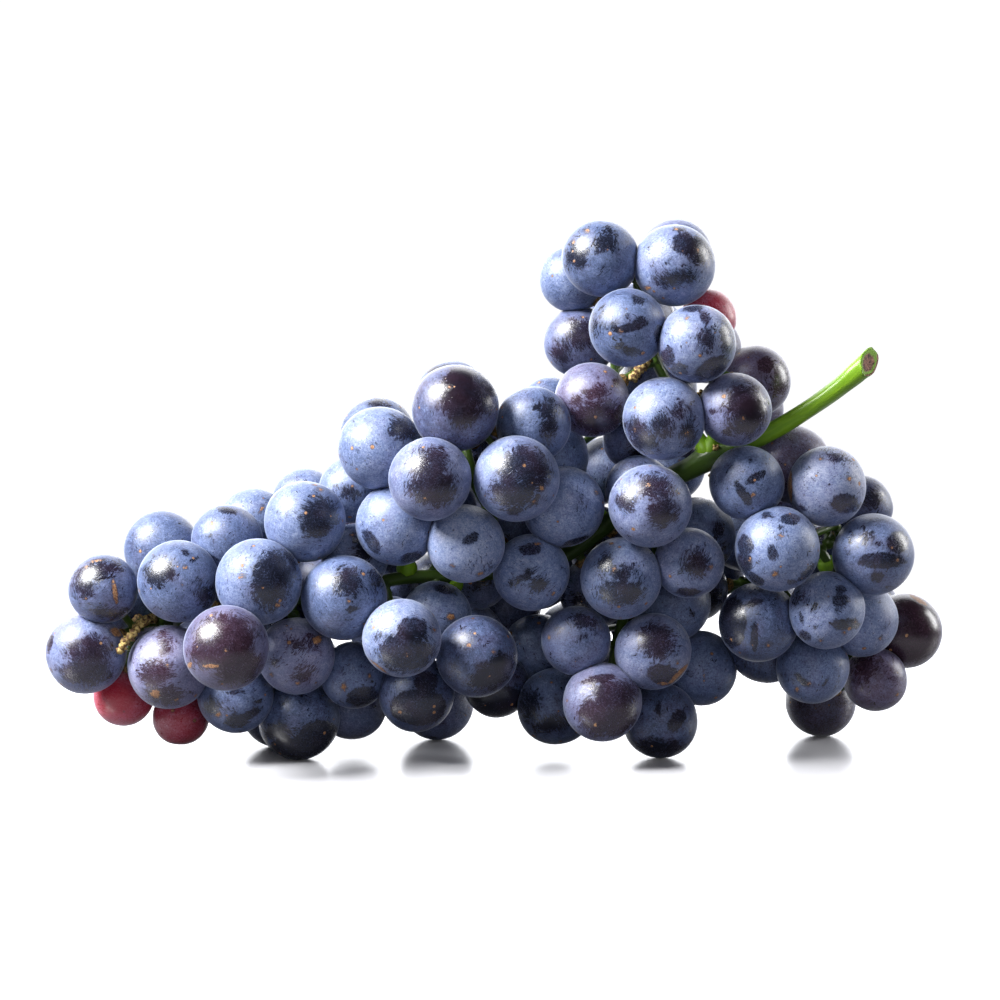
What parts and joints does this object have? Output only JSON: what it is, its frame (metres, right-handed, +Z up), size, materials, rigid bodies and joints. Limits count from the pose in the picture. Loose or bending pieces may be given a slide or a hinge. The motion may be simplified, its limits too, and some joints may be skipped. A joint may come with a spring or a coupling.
{
  "type": "bunch of grapes",
  "caption": "Bunch of dark blue, bloom-covered grapes on a green branching stem, lying on its side.",
  "frame": {"origin": "on the surface that the bunch lies on, under the middle of its box", "axes": "+X along the bunch, from its tip to the cut end of the stem; -Y is the front; +Z is up"},
  "size_m": [0.1977, 0.0862, 0.1188],
  "materials": {
    "grape_skin": "dark blue grape skin under a dusty blue-grey bloom, rubbed off in patches",
    "unripe_skin": "translucent red skin of berries that have not coloured fully",
    "green_stem": "fresh green stalk, brown and dry at its cut end and near the berries"
  },
  "bodies": {
    "root": {"back_grapes_01": "grape_skin", "back_grapes_02": "grape_skin", "back_grapes_03": "grape_skin", "back_grapes_04": "grape_skin", "back_grapes_05": "grape_skin", "back_grapes_06": "grape_skin", "back_grapes_07": "grape_skin", "back_grapes_08": "grape_skin", "back_grapes_09": "grape_skin", "back_grapes_10": "grape_skin", "back_grapes_11": "grape_skin", "back_grapes_12": "grape_skin", "back_grapes_13": "grape_skin", "back_grapes_14": "grape_skin", "back_grapes_15": "grape_skin", "back_grapes_16": "grape_skin", "back_grapes_17": "grape_skin", "back_grapes_18": "grape_skin", "back_grapes_19": "grape_skin", "front_grapes_01": "grape_skin", "front_grapes_02": "grape_skin", "front_grapes_03": "grape_skin", "front_grapes_04": "grape_skin", "front_grapes_05": "grape_skin", "lower_grapes_01": "grape_skin", "lower_grapes_02": "grape_skin", "middle_grapes_01": "grape_skin", "middle_grapes_02": "grape_skin", "middle_grapes_03": "grape_skin", "middle_grapes_04": "grape_skin", "middle_grapes_05": "grape_skin", "middle_grapes_06": "grape_skin", "middle_grapes_07": "grape_skin", "shoulder_grapes_01": "grape_skin", "shoulder_grapes_02": "grape_skin", "shoulder_grapes_03": "grape_skin", "shoulder_grapes_04": "grape_skin", "shoulder_grapes_05": "grape_skin", "shoulder_grapes_06": "grape_skin", "shoulder_grapes_07": "grape_skin", "shoulder_grapes_08": "grape_skin", "shoulder_grapes_09": "grape_skin", "stem": "green_stem", "tip_grapes_01": "grape_skin", "tip_grapes_02": "grape_skin", "tip_grapes_03": "grape_skin", "tip_grapes_04": "grape_skin", "tip_grapes_05": "grape_skin", "tip_grapes_06": "grape_skin", "tip_grapes_07": "grape_skin", "tip_grapes_08": "grape_skin", "unripe_grapes_01": "unripe_skin", "unripe_grapes_02": "unripe_skin", "unripe_grapes_03": "unripe_skin", "wing_grapes_01": "grape_skin", "wing_grapes_02": "grape_skin", "wing_grapes_03": "grape_skin", "wing_grapes_04": "grape_skin", "wing_grapes_05": "grape_skin", "wing_grapes_06": "grape_skin"}
  },
  "joints": []
}
